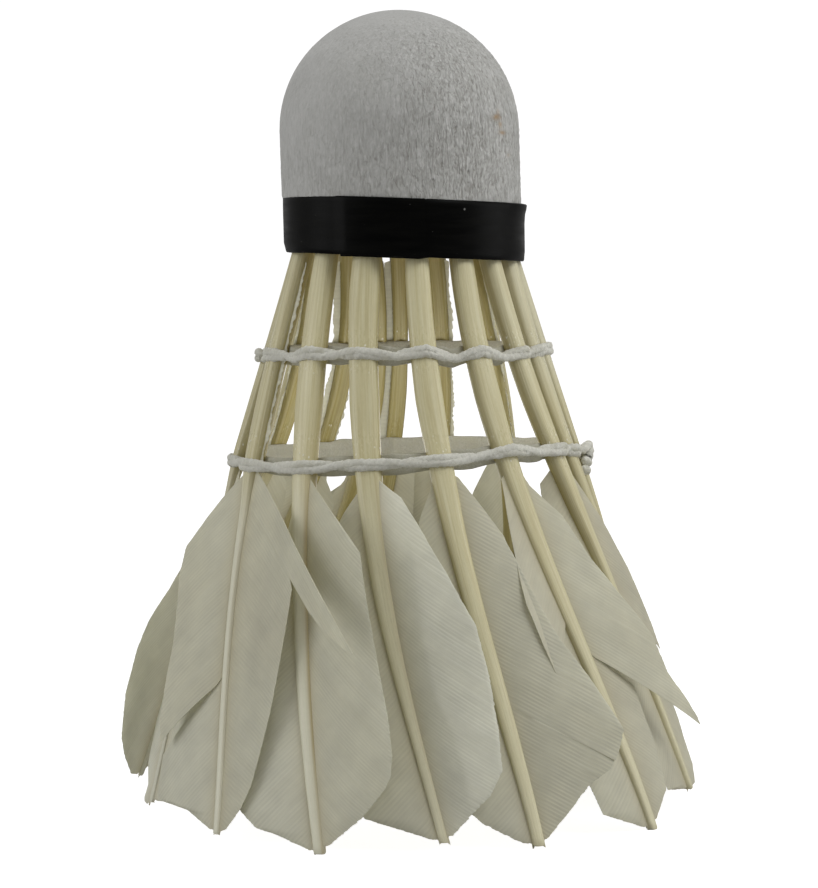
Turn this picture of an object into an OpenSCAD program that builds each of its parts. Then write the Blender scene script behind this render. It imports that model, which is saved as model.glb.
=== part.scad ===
// Feather shuttlecock: a leather-covered cork with sixteen goose feathers
// glued into a ring of holes and sewn together by two rows of thread.
// The cork points up along +Z, the lowest feather tips rest on z = 0, and the
// axis of the cork is the Z axis. Angles run round it from -Y towards +X.

/* [Cork] */
// Radius of the leather-covered cork
cork_r = 13.1; // [12.5:0.1:14]
// Height of the straight cork side between the tape and the rounded nose
side_h = 7.8; // [6.5:0.1:9]
// Thickness of the leather skin
skin_t = 0.55; // [0.4:0.05:0.8]
// Depth of the cork layer that holds the quills
base_h = 7.4; // [7:0.1:8.4]

/* [Tape] */
// Height of the lower edge of the tape above the feather tips
tape_z = 60.2; // [58:0.1:63]
// Width of the tape
tape_h = 6.1; // [5.8:0.1:7]
// Thickness of one layer of tape
tape_t = 0.24; // [0.2:0.02:0.3]
// Length of tape left hanging below the flat bottom of the cork
tape_hang = 2.1; // [1.8:0.1:2.4]
// Where the free end of the tape starts its overlap, degrees round the cork
lap_from = -30; // [-60:1:-20]
// How far round the cork the free end overlaps, degrees
lap_deg = 40; // [10:1:60]

/* [Skirt] */
// Radius of the circle through the feather tips
tip_r = 31.3; // [30:0.1:33]
// Radius of the circle through the quills at the lower edge of the tape
root_r = 11.5; // [11.2:0.1:11.7]
// Flare of the skirt: four times its inward bow from a straight cone at mid height
bell = 1.45; // [0:0.05:2]
// Hand-laid unevenness of the feathers, 0 for evenly spaced angles
uneven = 1; // [0.8:0.05:1]

/* [Quills] */
// Radius of a quill inside the cork
quill_r = 1.12; // [1.05:0.01:1.15]
// Radial gap filled by glue between a quill and its hole
glue_gap = 0.07; // [0.05:0.01:0.1]
// Length of quill held inside the cork
quill_in = 5.2; // [4.5:0.1:5.6]
// Half width of a quill at its tip
quill_tip = 0.64; // [0.5:0.02:0.7]

/* [Vanes] */
// Height of the trimmed top end of the vanes
vane_top = 37.2; // [36.5:0.1:37.4]
// Thickness of a vane
vane_t = 0.3; // [0.24:0.02:0.36]
// Scale of the vane widths
vane_w = 1; // [0.85:0.05:1.05]
// Outward twist of the overlapping half of each vane, degrees
twist_out = 20; // [16:1:24]
// Inward twist of the covered half of each vane, degrees
twist_in = 12; // [10:1:16]
// Camber of a vane as a share of its half width
camber = 0.05; // [0.03:0.01:0.06]

/* [Threads] */
// Height of the upper row of thread
row_1 = 50.2; // [49.5:0.1:51]
// Height of the lower row of thread
row_2 = 38.85; // [38.8:0.05:39.4]
// Radius of one strand of thread
strand_r = 0.33; // [0.28:0.01:0.36]

/* [Hidden] */
$fn = 96;
feathers = 16;
gap = 0.05; // clearance between neighbouring pieces

// Cork, leather and tape
cork_z = tape_z + tape_hang;          // flat bottom of the cork
join_z = cork_z + base_h;             // joint between the two cork layers
tape_top = tape_z + tape_h;
dome_z = tape_top + side_h;           // centre of the rounded nose
in_r = cork_r - skin_t;               // inside of the leather
hole_r = quill_r + glue_gap;
press = 0.08;                         // how far the tape presses the skin in
rim_taper = 0.1;                      // further narrowing of the skin at its rim
rim_z = cork_z + 0.1;

// Angles of an even ring: the first feather at the tape, and the added sweep at laid_z
first_angle = -17;
sweep = [0, 4, 13, 24];

// How each feather was laid, one row per feather in order round the cork:
// its angles at the heights laid_z, from the tape down to the tip
laid_z = [60.2, 38.8, 20.9, 0.9];
laid = [
    [ -19, -12,  -3,   7], [   8,  12,  19,  25],
    [  33,  36,  46,  54], [  54,  61,  73,  80],
    [  74,  73,  86,  98], [  92,  91, 105, 118],
    [ 113, 114, 127, 140], [ 139, 142, 152, 163],
    [ 162, 168, 176, 185], [ 184, 186, 195, 206],
    [ 199, 196, 210, 225], [ 215, 213, 231, 249],
    [ 243, 237, 255, 273], [ 263, 272, 284, 295],
    [ 288, 297, 309, 320], [ 315, 325, 334, 343]];

// Height of each feather's tip, and scale of its vane widths
tip_z = [1.2, 0.3, 0, 2, 1, 0.5, 0, 0.2, 0, 0.3, 0, 0.4, 3.6, 2.6, 1.1, 0.1];
vane_scale = [0.93, 1.08, 1, 0.95, 0.95, 0.93, 0.97, 1, 0.95, 1, 0.97, 1, 1, 1, 0.9, 1.08];

// Half widths of a vane, [height, half width]: the half that overlaps its
// neighbour, and the half that is covered
wide_out = [[0, 1], [1.2, 2.2], [8, 9.8], [12, 10.2], [20, 10], [27, 9.4], [31, 6.4], [37.2, 2]];
wide_in = [[0, 1.2], [2.6, 7.4], [5, 8.2], [12, 8.2], [20, 7.4], [27, 5.6], [32, 3.8], [37.2, 1.9]];
vane_min = 0.6;     // least width of a half vane beside the quill
vane_max_out = 20;  // greatest half width of the overlapping half
quill_miss = 0.5;   // allowance between the covered half and the next quill

// Half width (round the ring) and half depth (radial) of a quill, [height, size]
quill_widths = [[0, quill_tip], [13, 0.9], [29, 1.1], [37, 1.27], [45, 1.42], [53, 1.25],
    [cork_z - 1, quill_r]];
quill_depths = [[0, quill_tip * 0.8], [20, 0.72], [38, 0.98], [cork_z - 1, quill_r]];

// Threads
strand_shift = strand_r + 0.07;  // offset of each outer strand from their shared path
thread_dip = 0.75;               // radial offset from the quill circle between quills
band_half_t = 0.24;
band_half_h = 0.8;
band_offset = 0.28;              // centre of the inner band from the quill, less gap
knot_offset = 0.65;              // centre of a knot beyond two strands

function polar(radius, angle, z) = [radius * sin(angle), -radius * cos(angle), z];
function tangent(angle) = [cos(angle), sin(angle), 0];
function outward(angle) = polar(1, angle, 0);

// Angle of feather i at height z: the cubic through its four laid angles
function laid_angle(i, k) = (1 - uneven) * (first_angle + i * 360 / feathers + sweep[k])
    + uneven * laid[i][k];
function weight(k, z) = let (other = [for (j = [0:3]) if (j != k) laid_z[j]])
    (z - other[0]) * (z - other[1]) * (z - other[2])
    / ((laid_z[k] - other[0]) * (laid_z[k] - other[1]) * (laid_z[k] - other[2]));
function feather_angle(i, z) =
    [for (k = [0:3]) weight(k, z)] * [for (k = [0:3]) laid_angle(i, k)];

// Radius of the circle through the quills
function skirt_r(z) = let (t = z / tape_z) tip_r + (root_r - tip_r) * t + bell * t * (t - 1);

// Centre line of a quill: curved below the cork, straight inside it
function curve(i, z) = polar(skirt_r(z), feather_angle(i, z), z);
function root_dir(i) =
    polar((skirt_r(cork_z) - skirt_r(cork_z - 2)) / 2, feather_angle(i, cork_z), 1);
function centre(i, z) = z <= cork_z ? curve(i, z)
    : curve(i, cork_z) + (z - cork_z) * root_dir(i);
function half_w(z) = lookup(z, quill_widths);
function half_d(z) = lookup(z, quill_depths);

// Distance from feather i to the one before it
function spread(i, z) = norm(centre(i, z) - centre((i + feathers - 1) % feathers, z));

// Solid through a list of rings, each running anticlockwise when looking
// back from the last ring. A closed loft joins the last ring to the first.
module loft(rings, closed = false) {
    sides = len(rings[0]);
    count = len(rings);
    last = closed ? count - 1 : count - 2;
    walls = [for (i = [0:last], j = [0:sides - 1], half = [0, 1])
        let (
            next_i = (i + 1) % count,
            next_j = (j + 1) % sides,
            corner = i * sides + j,
            opposite = next_i * sides + next_j)
        half == 0 ? [corner, opposite, i * sides + next_j]
            : [corner, next_i * sides + j, opposite]];
    caps = closed ? [] : [
        [for (j = [0:sides - 1]) j],
        [for (j = [sides - 1:-1:0]) (count - 1) * sides + j]];
    polyhedron(points = [for (ring = rings, p = ring) p], faces = concat(walls, caps));
}

// Moves children to where quill i enters the cork, with +Z along the quill
module along_root(i) {
    dir = root_dir(i);
    translate(curve(i, cork_z)) rotate([0, acos(1 / norm(dir)), atan2(dir[1], dir[0])])
        children();
}

// Ten-sided quill from the feather tip into the cork
module shaft(i) {
    tip = tip_z[i];
    heights = [tip, 6 + tip / 2, 13, 21, 29, 37, 45, 53,
        cork_z - 0.6, cork_z + 0.6, cork_z + quill_in];
    color("#cfc8a4") loft([for (z = heights)
        let (angle = feather_angle(i, min(z, cork_z)))
        [for (k = [0:9]) centre(i, z) + half_w(z) * cos(36 * k) * tangent(angle)
            - half_d(z) * sin(36 * k) * outward(angle)]]);
}

// One side of a vane: side 1 overlaps the next feather, side -1 is covered
module half_vane(i, side) {
    tip = tip_z[i];
    heights = [tip + 0.1, tip + 1.4, tip + 3.2, 8, 14, 20, 26, 31, vane_top];
    twist = side > 0 ? twist_out : twist_in;
    widths = side > 0 ? wide_out : wide_in;
    loft([for (z = heights)
        let (
            angle = feather_angle(i, z),
            inner = half_w(z) + gap,
            table_z = (z - tip) / (vane_top - tip) * vane_top,
            wanted = vane_scale[i] * vane_w * lookup(table_z, widths),
            limit = side > 0 ? vane_max_out : spread(i, z) - 2 * half_w(z) - quill_miss,
            outer = max(inner + vane_min, min(wanted, limit)),
            middle = (inner + outer) / 2,
            across = side > 0 ? [inner, middle, outer] : [-outer, -middle, -inner],
            arch = [0, camber * outer, 0],
            along = cos(twist) * tangent(angle) + sin(twist) * outward(angle),
            normal = cos(twist) * outward(angle) - sin(twist) * tangent(angle))
        concat(
            [for (k = [0:2]) centre(i, z) + across[k] * along + normal * (arch[k] + vane_t / 2)],
            [for (k = [2:-1:0]) centre(i, z) + across[k] * along
                + normal * (arch[k] - vane_t / 2)])]);
}

module vane(i) {
    color("#c9c7b4") for (side = [1, -1]) half_vane(i, side);
}

// Angle at fraction f of the way from quill k to the next
function row_angle(z, k, f) =
    let (from = feather_angle(k, z),
        to = feather_angle((k + 1) % feathers, z) + (k == feathers - 1 ? 360 : 0))
    from + f * (to - from);

// Closed thread round the skirt, six-sided in section. Its radius runs from
// quill_path at the quills to mid_path between them. It is shifted in height at
// the quills, changing sides from one to the next, and outward between them.
module strand(z, quill_path, mid_path, shift, half_t, half_h, steps) {
    loft([for (s = [0:feathers * steps - 1])
        let (
            k = floor(s / steps),
            f = s / steps - k,
            mid = sin(180 * f),
            swap = (k % 2 == 0 ? 1 : -1) * cos(180 * f),
            radius = quill_path + (mid_path - quill_path) * mid * mid + shift * mid)
        [for (j = [0:5]) polar(radius + half_t * sin(60 * j), row_angle(z, k, f),
            z + shift * swap + half_h * cos(60 * j))]],
        closed = true);
}

// Two strands outside the quills that cross between each pair
module outer_pair(z) {
    color("#e2e0d4") for (side = [1, -1])
        strand(z, skirt_r(z) + half_d(z) + strand_r + gap, skirt_r(z) + thread_dip,
            shift = side * strand_shift, half_t = strand_r, half_h = strand_r, steps = 6);
}

module inner_band(z) {
    color("#d2d0c2")
        strand(z, skirt_r(z) - half_d(z) - band_offset - gap, skirt_r(z) - thread_dip,
            shift = 0, half_t = band_half_t, half_h = band_half_h, steps = 4);
}

// Three-lobed lump on the outside of a row
module knot(z, angle) {
    radius = skirt_r(z) + half_d(z) + 2 * strand_r + knot_offset;
    small_r = 0.42;
    large_r = 0.5;
    color("#e2e0d4") hull() {
        translate(polar(radius, angle, z - 0.7)) sphere(r = small_r, $fn = 16);
        translate(polar(radius + 0.12, angle + 2, z + 0.5)) sphere(r = large_r, $fn = 16);
        translate(polar(radius, angle - 2.6, z + 0.1)) sphere(r = small_r, $fn = 16);
    }
}

// Cutters that trim a profile to x > 0 and to heights above z
module left_of_axis() {
    translate([-2 * cork_r, 0]) square([2 * cork_r, 2 * dome_z]);
}
module below(z) {
    square([2 * cork_r, z]);
}

module cork_nose() {
    bottom = join_z + gap;
    color("#c8a878") rotate_extrude() difference() {
        union() {
            translate([0, bottom]) square([in_r - gap, dome_z - bottom]);
            translate([0, dome_z]) circle(r = in_r - gap);
        }
        left_of_axis();
        below(bottom);
    }
}

// Lower cork layer with a slanted hole for each quill
module cork_base() {
    start = -1;
    color("#b8966a") difference() {
        translate([0, 0, cork_z]) cylinder(r = in_r - gap, h = base_h);
        for (i = [0:feathers - 1]) along_root(i) rotate([0, 0, 180])
            translate([0, 0, start]) cylinder(r = hole_r, h = quill_in + 0.6 - start, $fn = 48);
    }
}

// The skin is pressed in where the tape grips it, and tapers towards the rim
module leather_cover() {
    pressed_r = cork_r - press;
    pressed_top = tape_top + 0.01;
    color("#dcdbd8") rotate_extrude() difference() {
        union() {
            polygon([[0, rim_z], [pressed_r - rim_taper, rim_z],
                [pressed_r, pressed_top], [0, pressed_top]]);
            translate([0, tape_top]) square([cork_r, side_h]);
            translate([0, dome_z]) circle(r = cork_r);
        }
        left_of_axis();
        square([in_r, dome_z]);
        translate([0, dome_z]) circle(r = in_r);
        below(rim_z);
    }
}

// Full turn of tape, with a slightly narrower lap sunk half a layer into it
module edge_tape() {
    inside_r = cork_r - press + 0.02;
    color("#161616") union() {
        rotate_extrude() translate([inside_r, tape_z]) square([tape_t, tape_h]);
        rotate([0, 0, lap_from - 90]) rotate_extrude(angle = lap_deg)
            translate([inside_r + tape_t / 2, tape_z + 0.1])
                square([tape_t * 1.5, tape_h - 0.3]);
    }
}

// Collar round each quill just below the cork, wider at the top
module root_glue() {
    color("#d8cfae") for (i = [0:feathers - 1])
        along_root(i) translate([0, 0, -0.75]) difference() {
            cylinder(r1 = hole_r + 0.15, r2 = hole_r + 0.5, h = 0.6, $fn = 40);
            translate([0, 0, -1]) cylinder(r = hole_r, h = 3, $fn = 40);
        }
}

module upper_thread_outer() { outer_pair(row_1); }
module upper_thread_inner() { inner_band(row_1); }
module upper_thread_knot() { knot(row_1, angle = -92); }
module lower_thread_outer() { outer_pair(row_2); }
module lower_thread_inner() { inner_band(row_2); }
module lower_thread_knot() { knot(row_2, angle = 88); }

module feather_01_shaft() { shaft(0); }
module feather_02_shaft() { shaft(1); }
module feather_03_shaft() { shaft(2); }
module feather_04_shaft() { shaft(3); }
module feather_05_shaft() { shaft(4); }
module feather_06_shaft() { shaft(5); }
module feather_07_shaft() { shaft(6); }
module feather_08_shaft() { shaft(7); }
module feather_09_shaft() { shaft(8); }
module feather_10_shaft() { shaft(9); }
module feather_11_shaft() { shaft(10); }
module feather_12_shaft() { shaft(11); }
module feather_13_shaft() { shaft(12); }
module feather_14_shaft() { shaft(13); }
module feather_15_shaft() { shaft(14); }
module feather_16_shaft() { shaft(15); }
module feather_01_vane() { vane(0); }
module feather_02_vane() { vane(1); }
module feather_03_vane() { vane(2); }
module feather_04_vane() { vane(3); }
module feather_05_vane() { vane(4); }
module feather_06_vane() { vane(5); }
module feather_07_vane() { vane(6); }
module feather_08_vane() { vane(7); }
module feather_09_vane() { vane(8); }
module feather_10_vane() { vane(9); }
module feather_11_vane() { vane(10); }
module feather_12_vane() { vane(11); }
module feather_13_vane() { vane(12); }
module feather_14_vane() { vane(13); }
module feather_15_vane() { vane(14); }
module feather_16_vane() { vane(15); }

cork_nose();
cork_base();
leather_cover();
edge_tape();
root_glue();
upper_thread_outer();
upper_thread_inner();
upper_thread_knot();
lower_thread_outer();
lower_thread_inner();
lower_thread_knot();
feather_01_shaft();
feather_02_shaft();
feather_03_shaft();
feather_04_shaft();
feather_05_shaft();
feather_06_shaft();
feather_07_shaft();
feather_08_shaft();
feather_09_shaft();
feather_10_shaft();
feather_11_shaft();
feather_12_shaft();
feather_13_shaft();
feather_14_shaft();
feather_15_shaft();
feather_16_shaft();
feather_01_vane();
feather_02_vane();
feather_03_vane();
feather_04_vane();
feather_05_vane();
feather_06_vane();
feather_07_vane();
feather_08_vane();
feather_09_vane();
feather_10_vane();
feather_11_vane();
feather_12_vane();
feather_13_vane();
feather_14_vane();
feather_15_vane();
feather_16_vane();
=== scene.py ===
"""A feather shuttlecock standing on its feather tips, cork up, with Z as its axis.

Lengths are in mm, except for lights and shader scales, which are in metres. Angles are degrees
round Z: 0 is at -Y, the camera's side, and they grow towards +X. The 16 feathers are numbered
that way round, starting a little to the -X side of the front.
"""
import math
from dataclasses import dataclass

import bpy
import numpy as np
from mathutils import Matrix, Vector


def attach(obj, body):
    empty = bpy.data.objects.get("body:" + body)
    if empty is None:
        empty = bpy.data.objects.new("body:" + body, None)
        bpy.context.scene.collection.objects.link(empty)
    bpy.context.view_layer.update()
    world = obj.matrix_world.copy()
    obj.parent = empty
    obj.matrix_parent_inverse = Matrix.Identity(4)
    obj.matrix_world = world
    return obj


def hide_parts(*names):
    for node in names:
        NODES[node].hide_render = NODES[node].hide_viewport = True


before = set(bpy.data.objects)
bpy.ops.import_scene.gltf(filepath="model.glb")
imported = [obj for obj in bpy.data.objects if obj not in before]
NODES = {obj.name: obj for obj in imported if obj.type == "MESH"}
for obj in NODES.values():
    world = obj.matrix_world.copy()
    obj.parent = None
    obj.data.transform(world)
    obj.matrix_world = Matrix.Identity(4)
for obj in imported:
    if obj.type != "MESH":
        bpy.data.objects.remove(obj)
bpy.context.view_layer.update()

# ---------------------------------------------------------------- dimensions
FEATHERS = 16
TAPE_Z, TAPE_H = 60.2, 6.1
CORK_R, CORK_Z, DOME_Z = 13.1, 62.3, 74.1       # radius, flat underside, start of the dome
SKIN_T, SKIN_Z = .55, CORK_Z + .1               # leather thickness and lower edge
TIP_R, ROOT_R, SKIRT_BOW = 31.3, 11.5, 1.45     # skirt radius at z 0 and at the tape, and its bow
QUILL_R, QUILL_IN = 1.12, 5.2                   # quill at the cork, and its depth in the cork
ROW_1, ROW_2, STRAND = 50.2, 38.85, .33         # heights of the thread rows, thread radius
BARB = .47                                      # spacing of the barbs along the quill
WEB_TOP = 38.2
TAPE_TILT, TAPE_UP = math.tan(math.radians(3.01)), .14      # the tape is a little out of square

# Angle of every feather at the four LAID_Z heights
LAID_Z = (60.2, 38.8, 20.9, .9)
LAID = [(-19, -12, -3, 7), (8, 12, 19, 25), (33, 36, 46, 54), (54, 61, 73, 80),
        (74, 73, 86, 98), (92, 91, 105, 118), (113, 114, 127, 140), (139, 142, 152, 163),
        (162, 168, 176, 185), (184, 186, 195, 206), (199, 196, 210, 225), (215, 213, 231, 249),
        (243, 237, 255, 273), (263, 272, 284, 295), (288, 297, 309, 320), (315, 325, 334, 343)]
TIP_Z = (1.2, .3, 0, 2, 1, .5, 0, .2, 0, .3, 0, .4, 3.6, 2.6, 1.1, .1)

# Quill half width and half depth: (height, size)
HALF_WIDTH = [(0, .64), (13, .9), (29, 1.1), (37, 1.27), (45, 1.42), (53, 1.25), (61.3, 1.12)]
HALF_DEPTH = [(0, .51), (20, .72), (38, .98), (61.3, 1.12)]
# Factor on the half width of single feathers: (height, factor)
WIDTH_FACTOR = {
    0: [(0, .72), (12, .76), (26, 1.08), (40, 1.08), (48, 1.12), (57, 1.38), (61, 1.3), (62, 1)],
    1: [(0, 1), (40, 1), (57, 1.12), (61, 1.12), (62, 1)],
    2: [(0, .95), (40, .97), (57, 1.12), (61, 1.1), (62, 1)],
    3: [(0, .85), (40, .95), (61, 1)],
    4: [(0, .75), (30, .8), (40, .95)],
    7: [(0, .9), (38, .75), (50, .68), (61, 1)],
    8: [(0, .9), (38, .75), (50, .68), (60, .85), (62, 1)],
    9: [(0, .9), (38, .75), (50, .68), (60, .85), (62, 1)],
    10: [(0, .9), (38, .8), (50, .75), (62, 1)],
    11: [(0, .9), (38, .8), (50, .78), (62, 1)],
    12: [(0, .7), (30, .8), (40, 1)],
    13: [(0, .6), (26, .52), (35, .75), (40, 1), (52, 1.1), (61, 1.0)],
    14: [(0, .6), (26, .52), (35, .7), (40, 1), (52, 1.12), (61, 1.0)],
    15: [(0, .95), (14, 1.02), (28, 1.08), (40, 1.04), (56, 1.25), (61, 1.2), (62, 1)]}
# By feather: paleness below and above z 40, strength of the painted shade in a brown stripe along
# the quill's edge beside the web, depth beside the web
PALE_LOW = {14: .74, 13: .85, 12: .8, 0: .25, 15: .66}
PALE_HIGH = {3: .1, 4: .22, 5: .3}
SEAM_SHADE = {14: .22, 0: .35, 15: 1.0, 13: .12}
DEPTH_FACTOR = {14: .5, 13: .45, 12: .6, 0: .72, 15: .85}


# ---------------------------------------------------------------- places on the skirt
def along(z, table):
    """Interpolates a table of (height, value) pairs at z; one pair gives a constant."""
    table = sorted(table)
    return np.interp(z, [row[0] for row in table], [row[1] for row in table])


def angle_at(feather, z):
    """Cubic through the feather's four laid angles (Lagrange form)."""
    z = np.asarray(z, float)
    total = 0 * z
    for k in range(4):
        term = 1 + 0 * z
        for j in range(4):
            if j != k:
                term = term * (z - LAID_Z[j]) / (LAID_Z[k] - LAID_Z[j])
        total = total + LAID[feather][k] * term
    return total


def skirt_radius(z):
    t = np.asarray(z, float) / TAPE_Z
    return TIP_R + (ROOT_R - TIP_R) * t + SKIRT_BOW * t * (t - 1)


def xyz(x, y, z):
    return np.stack(np.broadcast_arrays(x, y, z), -1)


def polar(radius, angle, z):
    turn = np.radians(angle)
    return xyz(radius * np.sin(turn), -radius * np.cos(turn), z)


def sideways(angle):
    """Unit vector round the axis, towards growing angles."""
    turn = np.radians(angle)
    return xyz(np.cos(turn), np.sin(turn), 0)


def outwards(angle):
    return polar(1.0, angle, 0)


def on_skirt(feather, z):
    return polar(skirt_radius(z), angle_at(feather, z), z)


ROOT_SLOPE = (skirt_radius(CORK_Z) - skirt_radius(CORK_Z - 2)) / 2


def root_direction(feather):
    return polar(ROOT_SLOPE, angle_at(feather, CORK_Z), 1.0)


def quill_line(feather, z):
    """Centre of the quill: on the skirt up to the cork, then straight on."""
    z = np.asarray(z, float)
    above = np.maximum(z - CORK_Z, 0)[..., None]
    return on_skirt(feather, np.minimum(z, CORK_Z)) + above * root_direction(feather)


def half_width(feather, z):
    return along(z, HALF_WIDTH) * along(z, WIDTH_FACTOR.get(feather, [(0, 1)]))


def quill_face_radius(z):
    """Radius at the outward face of the quills."""
    return skirt_radius(z) + along(z, HALF_DEPTH)


# ---------------------------------------------------------------- noise
def lattice(ix, iy, iz, seed):
    """A fixed pseudo-random value from 0 to 1 for each whole-number place."""
    n = (ix * 374761393 + iy * 668265263 + iz * 1440662683 + seed * 1274126177) & 0xFFFFFFFF
    n = ((n ^ (n >> 13)) * 1274126177) & 0xFFFFFFFF
    n = (n ^ (n >> 16)) & 0xFFFFFF
    return n / float(0xFFFFFF)


def value_noise(points, seed=0):
    points = np.asarray(points, float)
    cell = np.floor(points).astype(np.int64)
    part = points - cell
    part = part * part * (3 - 2 * part)
    x, y, z = (part[..., k] for k in range(3))
    total = 0
    for dx in (0, 1):
        for dy in (0, 1):
            for dz in (0, 1):
                weight = (x if dx else 1 - x) * (y if dy else 1 - y) * (z if dz else 1 - z)
                total = total + weight * lattice(cell[..., 0] + dx, cell[..., 1] + dy,
                                                 cell[..., 2] + dz, seed)
    return total


def layered_noise(points, seed, layers=3):
    total, gain, gains = 0, 1, 0
    for k in range(layers):
        total = total + gain * value_noise(points * 2 ** k + 17.3 * k, seed + k)
        gains += gain
        gain *= .5
    return total / gains


def cells(points, seed):
    """Distances to the nearest and the second nearest cell point."""
    home = np.floor(points).astype(np.int64)
    nearest = np.full(points.shape[:-1], 9.0)
    second = np.full(points.shape[:-1], 9.0)
    for dx in (-1, 0, 1):
        for dy in (-1, 0, 1):
            for dz in (-1, 0, 1):
                cell = home + np.array([dx, dy, dz])
                x, y, z = (cell[..., k] for k in range(3))
                spot = cell + np.stack([lattice(x, y, z, seed + k) for k in (1, 2, 3)], -1)
                dist = np.linalg.norm(spot - points, axis=-1)
                farther = np.maximum(nearest, dist)
                nearest = np.minimum(nearest, dist)
                second = np.minimum(second, farther)
    return nearest, second


def smooth(start, end, x):
    """Smooth step from 0 at start to 1 at end; start may be the larger."""
    t = np.clip((np.asarray(x, float) - start) / (end - start), 0, 1)
    return t * t * (3 - 2 * t)


def signed_power(x, power):
    return np.sign(x) * np.abs(x) ** power


def circle(count):
    """Angles in radians of a full ring."""
    return np.arange(count) / count * 2 * math.pi


# ---------------------------------------------------------------- meshes
# A part is (verts, faces, attributes); faces is a list of index arrays, one row per face.
def face_out(verts, faces):
    """Turns the faces of a closed shape so that its volume is positive."""
    volume = 0.0
    for f in faces:
        for k in range(1, f.shape[1] - 1):
            cross = np.cross(verts[f[:, k]], verts[f[:, k + 1]])
            volume += np.einsum("ij,ij->", verts[f[:, 0]], cross)
    return [f[:, ::-1] for f in faces] if volume < 0 else faces


def build(name, part, mat, sharp):
    """A smooth mesh object, with edges over `sharp` degrees kept hard."""
    verts, faces, attrs = part
    faces = face_out(verts, faces)
    mesh = bpy.data.meshes.new(name)
    mesh.vertices.add(len(verts))
    mesh.vertices.foreach_set("co", (verts / 1000).astype(np.float32).ravel())
    loops = np.concatenate([f.ravel() for f in faces]).astype(np.int32)
    sizes = np.concatenate([np.full(len(f), f.shape[1]) for f in faces])
    starts = np.concatenate([[0], np.cumsum(sizes)[:-1]]).astype(np.int32)
    mesh.loops.add(len(loops))
    mesh.loops.foreach_set("vertex_index", loops)
    mesh.polygons.add(len(sizes))
    mesh.polygons.foreach_set("loop_start", starts)
    mesh.update(calc_edges=True)
    mesh.polygons.foreach_set("use_smooth", np.ones(len(sizes), bool))
    for key, values in attrs.items():
        layer = mesh.attributes.new(key, "FLOAT", "POINT")
        layer.data.foreach_set("value", np.asarray(values, np.float32).ravel())
    mesh.set_sharp_from_angle(angle=math.radians(sharp))
    mesh.materials.append(mat)
    ob = bpy.data.objects.new(name, mesh)
    bpy.context.scene.collection.objects.link(ob)
    return ob


def add_piece(name, part, mat, sharp, node):
    """Builds a part in place of a CAD node."""
    ob = build(name, part, mat, sharp)
    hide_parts(node)
    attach(ob, "root")


def grid(rows, cols, start=0, wrap_rows=False, wrap_cols=False):
    r = np.arange(rows if wrap_rows else rows - 1)
    c = np.arange(cols if wrap_cols else cols - 1)
    r, c = np.meshgrid(r, c, indexing="ij")
    r2, c2 = (r + 1) % rows, (c + 1) % cols
    corners = [r * cols + c, r * cols + c2, r2 * cols + c2, r2 * cols + c]
    return np.stack([start + corner for corner in corners], -1).reshape(-1, 4)


def capped_grid(rows, cols):
    """A grid wrapped round, with a fan to one extra vertex at each end."""
    j = np.arange(cols)
    after = (j + 1) % cols
    count = rows * cols
    last = count - cols
    return [grid(rows, cols, wrap_cols=True),
            np.stack([np.full(cols, count), after, j], -1),
            np.stack([np.full(cols, count + 1), last + j, last + after], -1)]


def tube(rings, loop=False):
    """Verts and faces of a closed tube through rings of shape (stations, corners, 3)."""
    rows, cols = rings.shape[:2]
    verts = rings.reshape(-1, 3)
    if loop:
        return verts, [grid(rows, cols, wrap_rows=True, wrap_cols=True)]
    verts = np.concatenate([verts, rings[0].mean(0)[None], rings[-1].mean(0)[None]])
    return verts, capped_grid(rows, cols)


def slab(middle, offset, attrs):
    """A closed slab between middle + offset and middle - offset."""
    rows, cols = middle.shape[:2]
    count = rows * cols
    verts = np.concatenate([(middle + offset).reshape(-1, 3), (middle - offset).reshape(-1, 3)])
    across, down = np.arange(cols), np.arange(rows) * cols
    faces = [grid(rows, cols), grid(rows, cols, count)[:, ::-1]]
    for rim in (across[::-1], count - cols + across, down, (down + cols - 1)[::-1]):
        faces.append(np.stack([rim[:-1], rim[1:], rim[1:] + count, rim[:-1] + count], -1))
    attrs = {key: np.tile(np.broadcast_to(values, (rows, cols)).ravel(), 2)
             for key, values in attrs.items()}
    return verts, face_out(verts, faces), attrs


def join(parts):
    verts, faces, attrs, count = [], [], {}, 0
    for part_verts, part_faces, part_attrs in parts:
        verts.append(part_verts)
        faces += [f + count for f in part_faces]
        for key, values in part_attrs.items():
            attrs.setdefault(key, []).append(values)
        count += len(part_verts)
    return np.concatenate(verts), faces, {k: np.concatenate(x) for k, x in attrs.items()}


# ---------------------------------------------------------------- material helpers
class Nodes:
    """An emptied node tree; the helpers add a node and return its output socket."""

    def __init__(self, owner):
        owner.use_nodes = True
        self.tree = owner.node_tree
        self.tree.nodes.clear()

    def node(self, kind):
        return self.tree.nodes.new("ShaderNode" + kind)

    def put(self, socket, value):
        if isinstance(value, bpy.types.NodeSocket):
            self.tree.links.new(value, socket)
        else:
            socket.default_value = value

    def remap(self, value, span, to=(0, 1)):
        node = self.node("MapRange")
        for socket, x in zip(node.inputs, (value, *span, *to)):
            self.put(socket, x)
        return node.outputs[0]


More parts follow.
